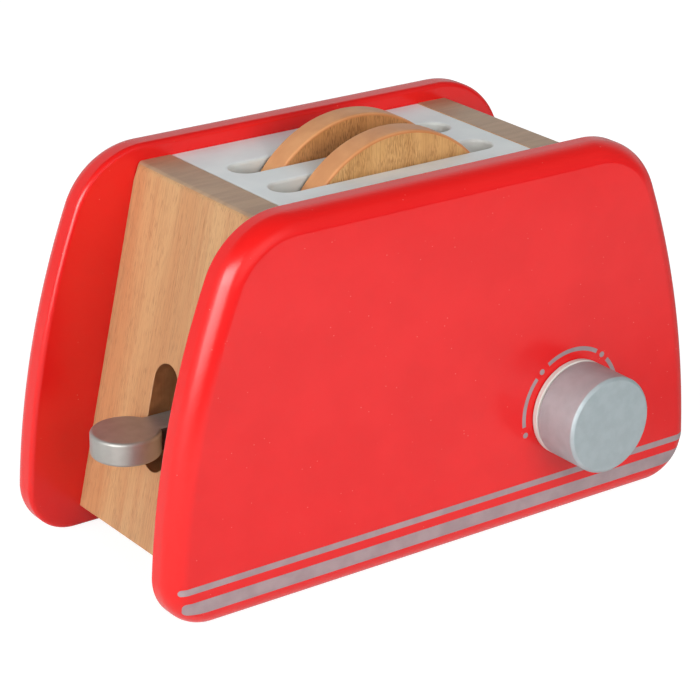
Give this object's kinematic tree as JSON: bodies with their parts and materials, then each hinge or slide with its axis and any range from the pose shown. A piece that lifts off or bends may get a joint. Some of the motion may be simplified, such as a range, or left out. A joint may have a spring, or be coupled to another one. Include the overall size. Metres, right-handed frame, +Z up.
{
  "type": "toy toaster",
  "caption": "Wooden play toaster with rounded side panels, leaning end boards, slotted top, lift-out bread slices, a spring-held side lever and a turning knob.",
  "frame": {"origin": "middle of the base board's underside, in the plane on which the toaster stands", "axes": "+X along the toaster away from the lever, towards the knob's end; -Y out of the front panel, along the knob; +Z up from the table"},
  "size_m": [0.1892, 0.1043, 0.1194],
  "materials": {
    "panel_paint": "satin red paint on fibreboard",
    "beech": "clear-varnished beech",
    "top_paint": "matt white paint",
    "silver_paint": "silver metallic paint on wood",
    "disc_paint": "white paint on wood",
    "bread": "smooth toasted-brown crust, varnished beech faces",
    "dowel_wood": "plain beech dowel",
    "spring_steel": "plain steel"
  },
  "bodies": {
    "housing": {"front_panel": "panel_paint", "back_panel": "panel_paint", "left_end_board": "beech", "right_end_board": "beech", "top_plate": "top_paint", "base_board": "beech", "front_dowels": "dowel_wood", "back_dowels": "dowel_wood", "guide_rod_left": "dowel_wood", "guide_rod_right": "dowel_wood", "return_spring_left": "spring_steel", "return_spring_right": "spring_steel"},
    "lift": {"lever": "silver_paint", "lift_tray": "beech", "lever_screws": "spring_steel"},
    "slice_front": {"toast_front": "bread"},
    "slice_back": {"toast_back": "bread"},
    "knob": {"knob": "silver_paint", "knob_disc": "disc_paint", "knob_axle": "dowel_wood", "knob_retainer": "dowel_wood"}
  },
  "joints": [
    {"name": "lever_slide", "type": "slide", "parent": "housing", "child": "lift", "axis": [0, 0, 1], "range_m": [-0.005, 0.011], "stiffness_N_per_m": 200, "springref_m": 0.00322, "deforming": ["return_spring_left", "return_spring_right"]},
    {"name": "slice_front_lift", "type": "slide", "parent": "lift", "child": "slice_front", "axis": [0, 0, 1], "range_m": [0, 0.08]},
    {"name": "slice_back_lift", "type": "slide", "parent": "lift", "child": "slice_back", "axis": [0, 0, 1], "range_m": [0, 0.08]},
    {"name": "knob_turn", "type": "hinge", "parent": "housing", "child": "knob", "pos_m": [0.0452, -0.0432, 0.035], "axis": [0, -1, 0], "continuous": true}
  ]
}
